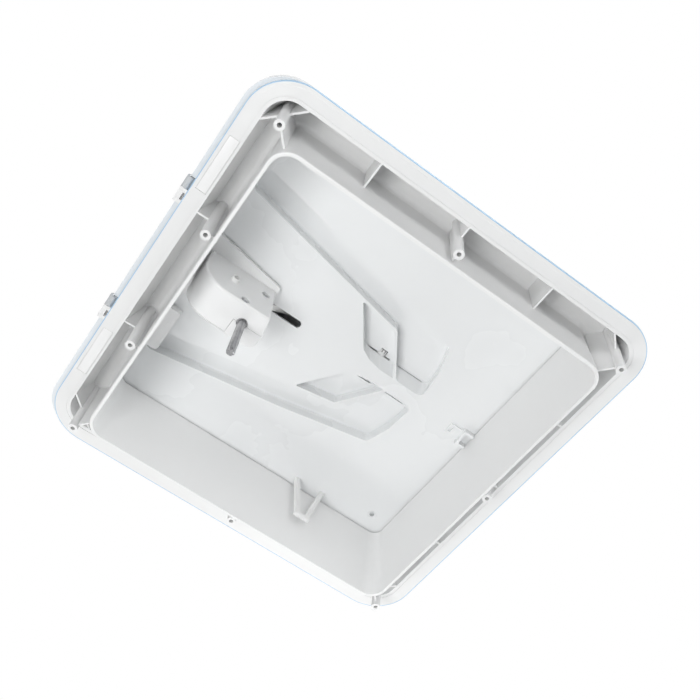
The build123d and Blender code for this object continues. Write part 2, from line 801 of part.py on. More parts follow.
def tapered_bar(start, end, start_radius, end_radius, x0, x1):
    """Bar between two discs, seen from the side."""
    dy, dz = end[0] - start[0], end[1] - start[1]
    length = math.hypot(dy, dz)
    ny, nz = -dz / length, dy / length
    sides = [(start[0] + ny * start_radius, start[1] + nz * start_radius),
             (end[0] + ny * end_radius, end[1] + nz * end_radius),
             (end[0] - ny * end_radius, end[1] - nz * end_radius),
             (start[0] - ny * start_radius, start[1] - nz * start_radius)]
    return side_prism(sides, x0, x1) + x_rod(end_radius, end[0], end[1], x0, x1)


def drive_pin_place():
    points = arm_points()
    dy, dz = points[1][0] - axle_y, points[1][1] - axle_z
    length = math.hypot(dy, dz)
    return axle_y + arm_drive_offset * dy / length, axle_z + arm_drive_offset * dz / length


def lift_arm():
    points, radii = arm_points(), arm_radii()
    cheek_in = wheel_half_width + wheel_bore_land + cheek_gap
    cheek_out = cheek_in + cheek_thickness
    root = wheel_pitch_radius() / 2
    cheek = x_rod(root, axle_y, axle_z, cheek_in, cheek_out)
    cheek += tapered_bar(points[0], points[1], radii[0], radii[1], cheek_in, cheek_out)
    arm = cheek + mirrored(cheek)
    arm += x_rod(radii[1], points[1][0], points[1][1], -cheek_out, cheek_out)
    for start, end, r0, r1 in zip(points[1:-1], points[2:], radii[1:-1], radii[2:]):
        arm += tapered_bar(start, end, r0, r1, -beam_half, beam_half)
    arm += x_rod(arm_end_radius, pin_y, pin_z, -beam_half, beam_half)
    arm -= x_rod(axle_radius, axle_y, axle_z, -cheek_out, cheek_out)
    arm -= x_rod(cross_pin_radius, pin_y, pin_z, -beam_half, beam_half)
    y, z = drive_pin_place()
    return arm - x_rod(arm_drive_radius, y, z, -cheek_out, cheek_out)


def arm_drive_pin():
    y, z = drive_pin_place()
    reach = wheel_half_width + wheel_bore_land + cheek_gap + cheek_thickness
    return x_rod(arm_drive_radius, y, z, -reach, reach)


def rail_inner_x():
    return tunnel_half - seat_clearance - rail_wall


def cross_pin():
    """Steel pin that lies in the slots of both rail walls, with a groove for its clip."""
    reach = tunnel_half - 3 * seat_clearance
    pin = x_rod(cross_pin_radius, pin_y, pin_z, -reach, reach)
    low, high = clip_x_span()
    groove = x_rod(cross_pin_radius, pin_y, pin_z, low, high)
    return pin - (groove - x_rod(cross_pin_radius - recess_width / 2, pin_y, pin_z, low, high))


def clip_x_span():
    high = rail_inner_x() - seat_clearance
    return high - clip_width, high


def cross_pin_clip():
    low, high = clip_x_span()
    clip = x_rod(clip_radius, pin_y, pin_z, low, high)
    clip -= x_rod(cross_pin_radius - recess_width / 2, pin_y, pin_z, low, high)
    mouth = cross_pin_radius / 2
    return clip - block(low, high, pin_y - mouth, pin_y + mouth, pin_z, pin_z + clip_radius)


def rail_plug():
    """Round plug on the -X rail wall, over the hole that the cross pin goes in by."""
    out = tunnel_half - seat_clearance
    plug = x_rod(plug_radius, pin_y, pin_z, -out - plug_head, -out)
    rim = plug.edges().filter_by(GeomType.CIRCLE).sort_by(Axis.X)[0]
    plug = chamfer(rim, plug_head / 8)
    for step in (-1, 1):
        mark_y = pin_y + step * plug_radius / 3
        plug -= block(-out - plug_head, -out - 3 * plug_head / 4, mark_y - plug_mark_width / 2,
                      mark_y + plug_mark_width / 2, pin_z - plug_mark_length / 2, pin_z + plug_mark_length / 2)
    return plug


def worm_low_z():
    return axle_z - 5 * tooth_pitch() / 2


def worm_high_z():
    return axle_z + 5 * tooth_pitch() / 2


def worm():
    """Right-hand worm sleeve: a gap between two threads faces the wheel's tooth at axle height."""
    pitch = tooth_pitch()
    root = worm_pitch_radius - tooth_root
    tip = worm_pitch_radius + tooth_reach
    core = z_rod(root, 0, 0, worm_low_z(), worm_high_z())
    turns = 4
    start_z = axle_z - turns * pitch / 2 + pitch / 4
    path = Pos(0, 0, start_z) * Helix(pitch, turns * pitch, root)
    half_root, half_tip, sink = pitch / 4.5, pitch / 9, tooth_root / 4
    profile = make_face(Polyline((root - sink, -half_root), (tip, -half_tip), (tip, half_tip),
                                 (root - sink, half_root), close=True))
    section = Plane(origin=(0, 0, start_z), x_dir=(1, 0, 0), z_dir=(0, -1, 0)) * profile
    thread = sweep(section, path=path, is_frenet=True)
    sleeve = core + thread
    sleeve -= z_rod(journal_radius, 0, 0, worm_low_z(), worm_high_z())
    return Pos(0, spindle_y, 0) * sleeve


def upper_bush_low():
    return worm_high_z() + 2 * seat_clearance


def spindle_top():
    return shelf_z - 3 * housing_wall - seat_clearance


def spindle_shoulder_z():
    """Where the thick end that takes the crank stops, just outside the housing."""
    return -housing_floor_z - 3 * seat_clearance


def spindle_shaft():
    shaft = z_rod(spindle_radius, 0, spindle_y, -spindle_tip_z, spindle_shoulder_z())
    tip = shaft.edges().group_by(Axis.Z)[0]
    shaft = chamfer(tip, spindle_tip_chamfer)
    shaft += z_rod(journal_radius, 0, spindle_y, spindle_shoulder_z(), spindle_top())
    for number in range(notch_count):
        angle = 2 * math.pi * number / notch_count
        x = spindle_radius * math.cos(angle)
        y = spindle_y + spindle_radius * math.sin(angle)
        shaft -= z_rod(notch_radius, x, y, -spindle_tip_z, notch_length - spindle_tip_z)
    low, high = clip_span()
    groove = z_rod(journal_radius, 0, spindle_y, low, high)
    groove -= z_rod(journal_radius - recess_width, 0, spindle_y, low, high)
    return shaft - groove


def clip_span():
    low = worm_low_z() - clip_width - seat_clearance
    return low, low + clip_width


def spindle_clip():
    low, high = clip_span()
    clip = z_rod(journal_radius + clip_width, 0, spindle_y, low, high)
    clip -= z_rod(journal_radius - recess_width, 0, spindle_y, low, high)
    return clip - block(-journal_radius / 2, journal_radius / 2, spindle_y, spindle_y + 2 * journal_radius,
                        low, high)


def spindle_bush_lower():
    low, high = bush_recess - housing_floor_z, clip_span()[0] - seat_clearance
    bush = z_rod(bush_radius, 0, spindle_y, low, high)
    return bush - z_rod(journal_radius + running_clearance, 0, spindle_y, low, high)


def spindle_bush_upper():
    low, high = upper_bush_low(), spindle_top()
    bush = z_rod(bush_radius, 0, spindle_y, low, high)
    return bush - z_rod(journal_radius + running_clearance, 0, spindle_y, low, high)


# Gear housing

def housing_section(x, front_y):
    """Side outline of the housing at a place in X: upright front, flat floor, back rounded about the wheel."""
    top_z = shelf_z - seat_clearance
    floor = -housing_floor_z
    belly_z = floor + housing_belly
    middle = housing_belly * math.sqrt(0.5)
    with BuildSketch(Plane.YZ.offset(x)) as side:
        with BuildLine():
            Polyline((front_y + housing_front_lean, top_z), (front_y, floor), (axle_y, floor))
            ThreePointArc((axle_y, floor), (axle_y + middle, belly_z - middle), (housing_back_y, belly_z))
            Polyline((housing_back_y, belly_z), (housing_back_y, top_z), (front_y + housing_front_lean, top_z))
        make_face()
    return side.sketch


def housing_body():
    """Block whose front runs out to a nose on the +X side, with its lower edges rounded."""
    nose_y = housing_front_y - housing_nose
    sections = [housing_section(-housing_half, housing_front_y), housing_section(seam_front_x, nose_y),
                housing_section(housing_half, nose_y)]
    body = loft(sections, ruled=True)
    corner = [edge for edge in body.edges() if abs(edge.center().X - housing_half) < seat_clearance
              and edge.center().Y < housing_front_y]
    body = fillet(corner, housing_nose_round)
    soft = []
    for edge in body.edges():
        place = edge.center()
        flank = abs(place.X) > housing_half - seat_clearance and place.Z < shelf_z - 2 * seat_clearance
        toe = place.Z < 0 and place.Y < housing_front_y
        round_corner = place.X > 0 and place.Z > 0 and place.Y < spindle_y
        if (flank or toe) and not round_corner:
            soft.append(edge)
    return fillet(soft, housing_round)


def housing_hollow():
    """Space for the worm, the wheel, the arm's cheeks and the swing of the arm."""
    half = wheel_half_width + wheel_bore_land + cheek_thickness + 3 * cheek_gap
    chamber = wheel_pitch_radius() + tooth_reach + housing_wall
    hollow = x_rod(chamber, axle_y, axle_z, -half, half)
    back = housing_back_y - housing_wall
    worm_chamber = worm_pitch_radius + tooth_reach + 2 * running_clearance + cheek_gap
    hollow += block(-half, half, spindle_y + journal_radius, back, axle_z, shelf_z)
    hollow += block(-half, half, shelf_front_y - overrun, back, spindle_top(), shelf_z)
    low, high = clip_span()
    hollow += z_rod(worm_chamber, 0, spindle_y, low - seat_clearance, upper_bush_low())
    hollow += z_rod(bush_radius, 0, spindle_y, -housing_floor_z, spindle_top())
    hollow += z_rod(spindle_hole_radius, 0, spindle_y, -housing_floor_z, spindle_hole_depth - housing_floor_z)
    hollow += x_rod(axle_radius + running_clearance, axle_y, axle_z, -housing_half, housing_half - housing_wall)
    for y, z in side_screw_places():
        seat_x = -housing_half + side_head_sink + side_head_height
        hollow += x_rod(side_screw_radius, y, z, -housing_half, housing_half - 2 * housing_wall)
        hollow += x_rod(side_head_radius + seat_clearance, y, z, -housing_half, seat_x)
    for x, y in shelf_screw_places():
        hollow += z_rod(small_screw_radius, x, y, shelf_z - pocket_depth, shelf_z)
    return hollow


def right_side(gap=0.0):
    """The part of the housing on the +X side of the stepped seam, with the spigot that one screw bites in."""
    low_z, high_z = -housing_floor_z - overrun, shelf_z + overrun
    outer = housing_half + overrun
    front = housing_front_y - housing_nose - overrun
    side = block(seam_front_x - gap, outer, front, seam_step_y + gap, low_z, high_z)
    side += block(seam_back_x - gap, outer, housing_front_y, housing_back_y + overrun, low_z, high_z)
    y, z = side_screw_places()[0]
    return side + x_rod(spigot_radius + gap, y, z, seam_front_x - gap, outer)


def housing_left():
    return housing_body() - right_side(seam_gap) - housing_hollow()


def housing_right():
    return (housing_body() & right_side()) - housing_hollow()


def side_screw_places():
    return [(spindle_y + side_screw_back_step, side_screw_z1), (spindle_y - side_screw_front_step, side_screw_z2)]


def housing_screws():
    """Two screws from the -X side, with their heads sunk in the housing's side."""
    screws = []
    for y, z in side_screw_places():
        head_x = -housing_half + side_head_sink
        head = x_rod(side_head_radius, y, z, head_x, head_x + side_head_height)
        head = chamfer(head.edges().sort_by(Axis.X)[0], side_head_height / 4)
        shank = x_rod(side_screw_radius, y, z, head_x, housing_half - 3 * housing_wall)
        recess = Pos(head_x, y, z) * Rot(0, 90, 0) * cross_recess(side_head_radius / 2)
        screws.append(head + shank - recess)
    return group(screws)


def shelf_screw_places():
    inset = housing_half - 3 * small_screw_radius
    front = housing_front_y + housing_front_lean + 2 * small_head_radius
    back = housing_back_y - 3 * small_head_radius
    return [(side * inset, y) for side in (-1, 1) for y in (front, back)]


def shelf_screws():
    length = shelf_thickness + pocket_depth - 2 * overrun
    screws = []
    for x, y in shelf_screw_places():
        screws.append(Pos(x, y, shelf_z + shelf_thickness) * Rot(180, 0, 0) * countersunk_screw(length))
    return group(screws)


# Slotted rail on the lid

def rail_screw_places():
    out = tunnel_half + rail_foot_width / 2
    middle = rail_back_y - rail_foot_length / 2
    step = rail_foot_length / 4
    return [(side * out, middle + shift * step) for side in (-1, 1) for shift in (-1, 1)]


def guide_rail():
    out = tunnel_half - seat_clearance
    low_z = pane_z + pocket_depth - rail_slot_rise
    foot_z = pane_z + pane_thickness + rail_boss_height
    rail = block(-out, out, -rail_front_y, rail_back_y, low_z, rail_top)
    rail -= block(-out + rail_wall, out - rail_wall, -rail_front_y - overrun, rail_back_y + overrun,
                  low_z - overrun, rail_top - rail_roof)
    foot_front = rail_back_y - rail_foot_length
    for side in (-1, 1):
        inner, outer = side * (out - rail_wall), side * (out + rail_foot_width)
        rail += block(inner, side * out, foot_front, rail_back_y, foot_z, rail_top - rail_roof)
        rail += block(inner, outer, foot_front, rail_back_y, foot_z, foot_z + rail_foot_thickness)
    half = cross_pin_radius + rail_slot_clearance
    slot_z = pin_z + rail_slot_rise
    slot_back = rail_slot_end_y()
    rail -= block(-out - overrun, out + overrun, pin_y, slot_back, slot_z - half, slot_z + half)
    rail -= x_rod(half, pin_y, slot_z, -out - overrun, out + overrun)
    rail -= x_rod(half, slot_back, slot_z, -out - overrun, out + overrun)
    for x, y in rail_screw_places():
        rail -= z_rod(small_screw_radius, x, y, foot_z - overrun, foot_z + overrun)
    return rail


def rail_slot_end_y():
    """Where the cross pin stands in the rail when the lid is fully open, found from the linkage's triangle."""
    angle = math.radians(lid_opening_angle)
    dy, dz = axle_y - hinge_y, axle_z - hinge_z
    open_y = hinge_y + dy * math.cos(angle) - dz * math.sin(angle)
    open_z = hinge_z + dy * math.sin(angle) + dz * math.cos(angle)
    rise = pin_z - open_z
    return open_y - math.sqrt(arm_length() ** 2 - rise ** 2) + rail_slot_clearance


def guide_rail_screws():
    foot_top = pane_z + pane_thickness + rail_boss_height + rail_foot_thickness
    screws = []
    for x, y in rail_screw_places():
        head = z_rod(small_head_radius, 0, 0, 0, small_head_height)
        shank = z_rod(small_screw_radius, 0, 0, -rail_boss_height, 0)
        recess = Pos(0, 0, small_head_height - recess_depth) * cross_recess(small_head_radius - 2 * recess_width)
        screws.append(Pos(x, y, foot_top) * (head + shank - recess))
    return group(screws)


def parts():
    pieces = {
        "base_frame": base_frame(),
        "lid_seal": lid_seal(),
        "hinge_block_screws": hinge_block_screws(),
        "housing_left": housing_left(),
        "housing_right": housing_right(),
        "housing_screws": housing_screws(),
        "shelf_screws": shelf_screws(),
        "spindle_bush_lower": spindle_bush_lower(),
        "spindle_bush_upper": spindle_bush_upper(),
        "spindle_shaft": spindle_shaft(),
        "spindle_clip": spindle_clip(),
        "worm": worm(),
        "worm_wheel": worm_wheel(),
        "wheel_axle": wheel_axle(),
        "lift_arm": lift_arm(),
        "arm_drive_pin": arm_drive_pin(),
        "cross_pin": cross_pin(),
        "cross_pin_clip": cross_pin_clip(),
        "lid_outer": lid_outer(),
        "lid_inner_pane": lid_inner_pane(),
        "pane_screws": pane_screws(),
        "guide_rail": guide_rail(),
        "guide_rail_screws": guide_rail_screws(),
        "rail_plug": rail_plug(),
        "lid_catch": lid_catch(),
        "pull_loop": pull_loop(),
    }
    for side, name in ((-1, "left"), (1, "right")):
        pieces["hinge_block_" + name] = hinge_block(side)
        pieces["hinge_cover_" + name] = cover(side)
        pieces["hinge_pin_" + name] = hinge_pin(side)
        pieces["lid_hinge_arm_" + name] = lid_hinge_arm(side)
    return pieces


os.makedirs("parts", exist_ok=True)
for name, piece in parts().items():
    export_step(piece, "parts/" + name + ".step")
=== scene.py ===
import math

import bpy
from mathutils import Matrix, Vector


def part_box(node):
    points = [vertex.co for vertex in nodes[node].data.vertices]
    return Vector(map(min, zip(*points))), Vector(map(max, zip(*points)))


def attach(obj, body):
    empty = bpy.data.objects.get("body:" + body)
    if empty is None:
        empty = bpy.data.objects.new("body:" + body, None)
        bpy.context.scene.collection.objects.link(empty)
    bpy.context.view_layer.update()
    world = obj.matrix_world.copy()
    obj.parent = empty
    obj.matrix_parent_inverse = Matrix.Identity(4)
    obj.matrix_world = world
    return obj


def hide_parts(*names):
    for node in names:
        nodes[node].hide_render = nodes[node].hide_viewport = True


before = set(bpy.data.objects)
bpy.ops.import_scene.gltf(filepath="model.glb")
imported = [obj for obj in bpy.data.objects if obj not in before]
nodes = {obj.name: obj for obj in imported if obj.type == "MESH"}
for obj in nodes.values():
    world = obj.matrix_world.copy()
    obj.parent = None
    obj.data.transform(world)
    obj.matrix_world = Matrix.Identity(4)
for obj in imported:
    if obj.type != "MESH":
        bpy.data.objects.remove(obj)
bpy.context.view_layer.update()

# Camera below the vent, on the hinge side, turned so that the square stands on a corner as in the
# photograph. The camera's axis meets the vent near the middle of its cut-out.
camera_place = (-0.4308, 0.2141, -0.7849)
camera_right = (-0.57774, -0.81237, 0.07919)
camera_down = (0.69090, -0.53838, -0.48249)
camera_ahead = (0.43459, -0.22404, 0.87231)
camera_lens, camera_sensor = 46.99, 36.0
camera_near = 0.05
camera_data = bpy.data.cameras.new("camera")
camera_data.lens = camera_lens
camera_data.sensor_width = camera_sensor
camera_data.clip_start = camera_near
camera = bpy.data.objects.new("camera", camera_data)
camera_turn = Matrix((camera_right, [-c for c in camera_down], [-c for c in camera_ahead])).transposed()
camera.matrix_world = Matrix.Translation(camera_place) @ camera_turn.to_4x4()
bpy.context.scene.collection.objects.link(camera)
bpy.context.scene.camera = camera
bpy.context.scene.view_settings.view_transform = "Standard"

# Studio: a white surround that the camera, metal and glass see, and little light from it on the vent
# itself. A matte pale floor lies well below and keeps the vent's shadow.
surround_light, surround_tint = 0.12, (0.93, 0.965, 1.0, 1.0)
studio_white = (1.0, 1.0, 1.0, 1.0)
floor_size, floor_z = 12.0, -1.5
floor_colour, floor_roughness, floor_glow = (0.82, 0.82, 0.82, 1.0), 0.9, 0.55
world = bpy.data.worlds.new("studio")
world.use_nodes = True
bpy.context.scene.world = world
tree = world.node_tree
tree.nodes.clear()
surround = tree.nodes.new("ShaderNodeBackground")
surround.inputs["Color"].default_value = surround_tint
surround.inputs["Strength"].default_value = surround_light
backdrop = tree.nodes.new("ShaderNodeBackground")
backdrop.inputs["Color"].default_value = studio_white
backdrop.inputs["Strength"].default_value = 1.0
path = tree.nodes.new("ShaderNodeLightPath")
seen = tree.nodes.new("ShaderNodeMath")
seen.operation = "MAXIMUM"
tree.links.new(path.outputs["Is Camera Ray"], seen.inputs[0])
tree.links.new(path.outputs["Is Transmission Ray"], seen.inputs[1])
mirrored = tree.nodes.new("ShaderNodeMath")
mirrored.operation = "MAXIMUM"
tree.links.new(seen.outputs[0], mirrored.inputs[0])
tree.links.new(path.outputs["Is Glossy Ray"], mirrored.inputs[1])
choose = tree.nodes.new("ShaderNodeMixShader")
tree.links.new(mirrored.outputs[0], choose.inputs["Fac"])
tree.links.new(surround.outputs[0], choose.inputs[1])
tree.links.new(backdrop.outputs[0], choose.inputs[2])
world_out = tree.nodes.new("ShaderNodeOutputWorld")
tree.links.new(choose.outputs[0], world_out.inputs["Surface"])

bpy.ops.object.select_all(action="DESELECT")
bpy.ops.mesh.primitive_plane_add(size=floor_size, location=(0, 0, floor_z))
floor = bpy.context.active_object
floor.name = "studio_floor"
floor_paint = bpy.data.materials.new("studio_floor")
floor_paint.use_nodes = True
tree = floor_paint.node_tree
matte = tree.nodes["Principled BSDF"]
matte.inputs["Base Color"].default_value = floor_colour
matte.inputs["Roughness"].default_value = floor_roughness
matte.inputs["Emission Color"].default_value = studio_white
path = tree.nodes.new("ShaderNodeLightPath")
glow = tree.nodes.new("ShaderNodeMath")
glow.operation = "MULTIPLY"
glow.inputs[1].default_value = floor_glow
tree.links.new(path.outputs["Is Camera Ray"], glow.inputs[0])
tree.links.new(glow.outputs[0], matte.inputs["Emission Strength"])
floor.data.materials.append(floor_paint)


# Lamps: large soft boxes round the vent, and a small one near it. The strongest stands below on the hinge
# side, the other low ones model the walls, and two above light the lid's outside.
lamp_reach, lamp_size = 1.6, 0.9


def softbox(name, turn, rise, power, tint, reach=lamp_reach, size=lamp_size):
    """Square soft box that aims at the vent. It stands at a turn from +X towards +Y and a rise above the
    roof plane, in degrees."""
    level = reach * math.cos(math.radians(rise))
    place = Vector((level * math.cos(math.radians(turn)), level * math.sin(math.radians(turn)),
                    reach * math.sin(math.radians(rise))))
    lamp = bpy.data.lights.new(name, "AREA")
    lamp.shape = "SQUARE"
    lamp.size = size
    lamp.energy = power
    lamp.color = tint
    holder = bpy.data.objects.new(name, lamp)
    holder.location = place
    holder.rotation_euler = (-place).to_track_quat("-Z", "Y").to_euler()
    holder.visible_camera = False
    bpy.context.scene.collection.objects.link(holder)


softbox("lamp_below_hinge_side", 108, -65, 18.0, (1.0, 1.0, 0.995))
softbox("lamp_loop_side", 0, -38, 4.8, (1.0, 0.995, 0.985))
softbox("lamp_loop_side_near", -26, -29, 0.35, (1.0, 0.99, 0.98), reach=0.52, size=0.25)
softbox("lamp_low_far_side", 190, -15, 8.6, (1.0, 1.0, 1.0))
softbox("lamp_low_catch_side", 270, -15, 8.4, (0.97, 0.99, 1.0))
softbox("lamp_low_hinge_side", 105, -15, 4.0, (1.0, 1.0, 1.0))
softbox("lamp_above_far_side", 180, 45, 9.0, (0.96, 0.985, 1.0), reach=1.55)
softbox("lamp_above_catch_side", 300, 50, 12.0, (0.99, 1.0, 1.0), size=1.2)


# Frame: one large injection moulding of white ABS with a satin skin, clamped in the roof cut-out. The skin
# has faint flow clouds and the fine texture of the mould, painted shade in its corners, and edges that are
# glossier and painted lighter as a highlight.
frame_colour, frame_shade = (0.868, 0.870, 0.868), (0.800, 0.803, 0.805)
edge_reflection_blue = (0.40, 0.60, 0.80)
flange_half_x, flange_half_y, flange_corner = 0.2286, 0.2259, 0.045
edge_band = 0.0011
edge_reach, corner_reach, reach_samples = 0.0007, 0.005, 6
edge_least, edge_full = 0.75, 0.35
corner_least, corner_full = 0.9, 0.35
patch_low, patch_high, patch_least = 0.3, 0.7, 0.35
cloud_low, cloud_high, cloud_most = 0.2, 0.8, 0.3
wave_scale, wave_share = 130.0, 0.7
highlight_gain, whitest = 1.07, 0.93
cloud_roughness, polish_roughness, dust_roughness = 0.14, -0.12, 0.2
skin_depth = 0.00012
plastic_ior = 1.52


def effect(name, sockets_in, sockets_out):
    """A shader node group with named sockets."""
    group = bpy.data.node_groups.new(name, "ShaderNodeTree")
    for label, kind, value in sockets_in:
        socket = group.interface.new_socket(label, in_out="INPUT", socket_type=kind)
        socket.default_value = value
    for label, kind in sockets_out:
        group.interface.new_socket(label, in_out="OUTPUT", socket_type=kind)
    return group, group.nodes.new("NodeGroupInput"), group.nodes.new("NodeGroupOutput")


def reckon(tree, operation, first, second, third=None):
    """A Math node; numbers go on its own sockets and outputs are linked."""
    node = tree.nodes.new("ShaderNodeMath")
    node.operation = operation
    for slot, value in enumerate((first, second, third)):
        if value is None:
            continue
        if isinstance(value, (int, float)):
            node.inputs[slot].default_value = value
        else:
            tree.links.new(value, node.inputs[slot])
    return node.outputs[0]


def ramp(tree, value, low, high, to_low=0.0, to_high=1.0):
    """A Map Range node, held between its two ends."""
    node = tree.nodes.new("ShaderNodeMapRange")
    node.inputs["From Min"].default_value = low
    node.inputs["From Max"].default_value = high
    node.inputs["To Min"].default_value = to_low
    node.inputs["To Max"].default_value = to_high
    tree.links.new(value, node.inputs["Value"])
    return node.outputs["Result"]


def blend(tree, share, first, second):
    """Mix of two colours, given as tuples or outputs."""
    node = tree.nodes.new("ShaderNodeMix")
    node.data_type = "RGBA"
    node.clamp_factor = True
    tree.links.new(share, node.inputs["Factor"])
    for slot, value in ((6, first), (7, second)):
        if isinstance(value, tuple):
            node.inputs[slot].default_value = (*value, 1.0)
        else:
            tree.links.new(value, node.inputs[slot])
    return node.outputs[2]


# Shared effect: how far a place is an edge or a corner. The edge mask paints highlights on the plastics'
# edges and marks rubbed wear on the metals; the corner mask paints shade into the pale plastics' corners.
edges_group, enter, leave = effect("edge_wear_highlight_and_corner_shade", [("Patchiness", "NodeSocketFloat", 60.0)],
                                   [("Edge", "NodeSocketFloat"), ("Corner", "NodeSocketFloat")])
spot = edges_group.nodes.new("ShaderNodeTexCoord")
outside = edges_group.nodes.new("ShaderNodeAmbientOcclusion")
inside = edges_group.nodes.new("ShaderNodeAmbientOcclusion")
inside.inside = True
for probe, reach in ((outside, corner_reach), (inside, edge_reach)):
    probe.samples = reach_samples
    probe.only_local = True
    probe.inputs["Distance"].default_value = reach
patches = edges_group.nodes.new("ShaderNodeTexNoise")
patches.inputs["Detail"].default_value = 3.0
edges_group.links.new(spot.outputs["Object"], patches.inputs["Vector"])
edges_group.links.new(enter.outputs["Patchiness"], patches.inputs["Scale"])
patchy = ramp(edges_group, patches.outputs["Fac"], patch_low, patch_high, patch_least)
sharp = ramp(edges_group, inside.outputs["AO"], edge_least, edge_full)
edges_group.links.new(reckon(edges_group, "MULTIPLY", sharp, patchy), leave.inputs["Edge"])
deep = ramp(edges_group, outside.outputs["AO"], corner_least, corner_full)
edges_group.links.new(reckon(edges_group, "MULTIPLY", deep, patchy), leave.inputs["Corner"])

# Shared effect: clouds and grain of a moulded plastic skin.
skin_group, enter, leave = effect("moulded_skin", [("Cloud Scale", "NodeSocketFloat", 9.0),
                                                   ("Grain Scale", "NodeSocketFloat", 2600.0)],
                                  [("Cloud", "NodeSocketFloat"), ("Grain", "NodeSocketFloat")])
spot = skin_group.nodes.new("ShaderNodeTexCoord")
cloud = skin_group.nodes.new("ShaderNodeTexNoise")
cloud.inputs["Detail"].default_value = 4.0
grain = skin_group.nodes.new("ShaderNodeTexNoise")
grain.inputs["Detail"].default_value = 2.0
wave = skin_group.nodes.new("ShaderNodeTexNoise")
wave.inputs["Scale"].default_value = wave_scale
wave.inputs["Detail"].default_value = 1.0
for texture in (cloud, grain, wave):
    skin_group.links.new(spot.outputs["Object"], texture.inputs["Vector"])
skin_group.links.new(enter.outputs["Cloud Scale"], cloud.inputs["Scale"])
skin_group.links.new(enter.outputs["Grain Scale"], grain.inputs["Scale"])
skin_group.links.new(cloud.outputs["Fac"], leave.inputs["Cloud"])
rippled = reckon(skin_group, "MULTIPLY_ADD", wave.outputs["Fac"], wave_share, grain.outputs["Fac"])
skin_group.links.new(rippled, leave.inputs["Grain"])


def plastic(name, colour, shade, roughness, cloud_scale=9.0, grain_scale=2600.0, relief=0.12, dust_and_shade=0.5,
            polish_and_highlight=0.6, coat=0.0):
    """Injection-moulded plastic; returns the material and its colour output, for a piece that adds to it."""
    material = bpy.data.materials.new(name)
    material.use_nodes = True
    tree = material.node_tree
    shader = tree.nodes["Principled BSDF"]
    skin = tree.nodes.new("ShaderNodeGroup")
    skin.node_tree = skin_group
    skin.inputs["Cloud Scale"].default_value = cloud_scale
    skin.inputs["Grain Scale"].default_value = grain_scale
    edges = tree.nodes.new("ShaderNodeGroup")
    edges.node_tree = edges_group
    clouds = ramp(tree, skin.outputs["Cloud"], cloud_low, cloud_high, 0.0, cloud_most)
    # On the pale plastics the corner mask paints shade into corners, creases and recesses; on the dark
    # rubber it lightens them as dust.
    cloud_dust_and_shade = reckon(tree, "MULTIPLY_ADD", edges.outputs["Corner"], dust_and_shade, clouds)
    tinted = blend(tree, cloud_dust_and_shade, colour, shade)
    # The edge mask makes the edges glossier as polish and paints them lighter as a highlight.
    edge_polish_and_highlight = reckon(tree, "MULTIPLY", edges.outputs["Edge"], polish_and_highlight)
    bright = tuple(min(c * highlight_gain, whitest) for c in colour)
    wear_and_highlight = blend(tree, edge_polish_and_highlight, tinted, bright)
    tree.links.new(wear_and_highlight, shader.inputs["Base Color"])
    rough = reckon(tree, "MULTIPLY_ADD", skin.outputs["Cloud"], cloud_roughness, roughness)
    rough = reckon(tree, "MULTIPLY_ADD", edge_polish_and_highlight, polish_roughness, rough)
    rough = reckon(tree, "MULTIPLY_ADD", edges.outputs["Corner"], dust_roughness, rough)
    tree.links.new(rough, shader.inputs["Roughness"])
    bump = tree.nodes.new("ShaderNodeBump")
    bump.inputs["Strength"].default_value = relief
    bump.inputs["Distance"].default_value = skin_depth
    tree.links.new(skin.outputs["Grain"], bump.inputs["Height"])
    tree.links.new(bump.outputs["Normal"], shader.inputs["Normal"])
    shader.inputs["IOR"].default_value = plastic_ior
    shader.inputs["Coat Weight"].default_value = coat
    return material, wear_and_highlight


def dress(material, *names):
    """Gives CAD nodes a material in place of their own."""
    for name in names:
        data = nodes[name].data
        data.materials.clear()
        data.materials.append(material)


frame_white, frame_skin = plastic("frame_white", frame_colour, frame_shade, 0.30)

# The flange's outer edge gets a painted blue reflection: a narrow band, found from the rounded outline of
# the flange.
tree = frame_white.node_tree
spot = tree.nodes.new("ShaderNodeTexCoord")
apart = tree.nodes.new("ShaderNodeSeparateXYZ")
tree.links.new(spot.outputs["Object"], apart.inputs["Vector"])
from_x = reckon(tree, "ABSOLUTE", apart.outputs["X"], 0.0)
from_y = reckon(tree, "ABSOLUTE", apart.outputs["Y"], 0.0)
over_x = reckon(tree, "MAXIMUM", reckon(tree, "SUBTRACT", from_x, flange_half_x - flange_corner), 0.0)
over_y = reckon(tree, "MAXIMUM", reckon(tree, "SUBTRACT", from_y, flange_half_y - flange_corner), 0.0)
square_x = reckon(tree, "MULTIPLY", over_x, over_x)
square_y = reckon(tree, "MULTIPLY", over_y, over_y)
far = reckon(tree, "SQRT", reckon(tree, "ADD", square_x, square_y), 0.0)
reflection_band = ramp(tree, far, flange_corner - edge_band, flange_corner - edge_band / 2)
reflection_banded = blend(tree, reflection_band, frame_skin, edge_reflection_blue)
tree.links.new(reflection_banded, tree.nodes["Principled BSDF"].inputs["Base Color"])
dress(frame_white, "base_frame")


# Lid seal: an extruded strip of soft grey rubber, pressed in the groove on top of the collar. The pane
# closes on its rounded top.
seal_half_x, seal_half_y, seal_corner, seal_centre_y = 0.1860, 0.1857, 0.021, 0.0023
seal_width, seal_low, seal_high = 0.006, 0.0590, 0.0617
seal_round, seal_round_angle = 0.0009, 50
rubber_colour, rubber_dust = (0.075, 0.075, 0.078), (0.20, 0.20, 0.20)
smooth_angle = 35


def begin(kind, **where):
    """Deselects all and adds a primitive; leaves it in edit mode with nothing selected."""
    bpy.ops.object.select_all(action="DESELECT")
    getattr(bpy.ops.mesh, "primitive_" + kind + "_add")(**where)
    piece = bpy.context.active_object
    bpy.ops.object.transform_apply(location=True, rotation=True, scale=True)
    bpy.ops.object.mode_set(mode="EDIT")
    bpy.ops.mesh.select_all(action="DESELECT")
    return piece


